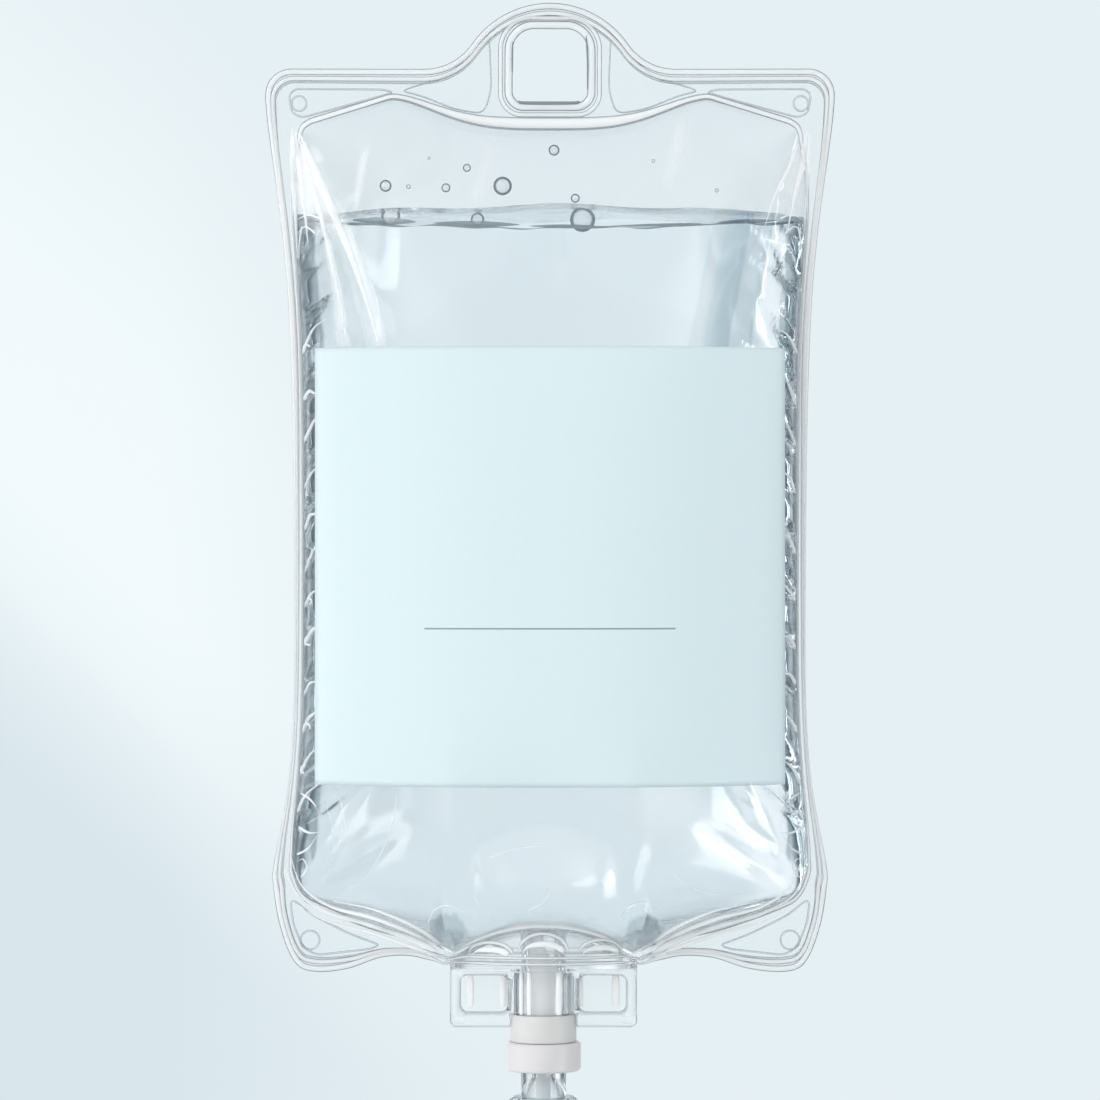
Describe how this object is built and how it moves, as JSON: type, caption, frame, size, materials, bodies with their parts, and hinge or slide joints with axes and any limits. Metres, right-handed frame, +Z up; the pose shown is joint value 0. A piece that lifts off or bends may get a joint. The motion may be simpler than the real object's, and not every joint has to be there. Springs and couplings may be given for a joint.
{
  "type": "infusion bag with drip chamber",
  "caption": "Clear film infusion bag with an eyelet in its crown, a pale front label, liquid inside and a moulded port at its foot that takes a spiked drip chamber.",
  "frame": {"origin": "middle of the eyelet's top edge, where the bag bears on its hook", "axes": "+Z up along the hanging bag, front of the bag towards -Y"},
  "size_m": [0.1134, 0.0423, 0.2742],
  "materials": {
    "clear_film": "clear",
    "back_film": "clear",
    "clear_liquid": "clear",
    "label_sheet": "matte",
    "clear_moulding": "clear",
    "septum_rubber": "matte",
    "frosted_white": "satin",
    "white_plastic": "satin",
    "clear_cap": "clear",
    "former_tube": "satin",
    "barrel_tube": "clear",
    "filter_mesh": "matte",
    "clear_base": "clear"
  },
  "bodies": {
    "bag": {"front_film": "clear_film", "back_film": "back_film", "fluid": "clear_liquid", "label": "label_sheet", "port_frame": "clear_moulding", "port_septum": "septum_rubber", "port_collar": "frosted_white"},
    "infusion_set": {"spike": "white_plastic", "chamber_cap": "clear_cap", "drop_former": "former_tube", "chamber_barrel": "barrel_tube", "chamber_filter": "filter_mesh", "chamber_base": "clear_base"}
  },
  "joints": [
    {"name": "spike_withdraw", "type": "slide", "parent": "bag", "child": "infusion_set", "axis": [0, 0, -1], "range_m": [0, 0.026]}
  ]
}
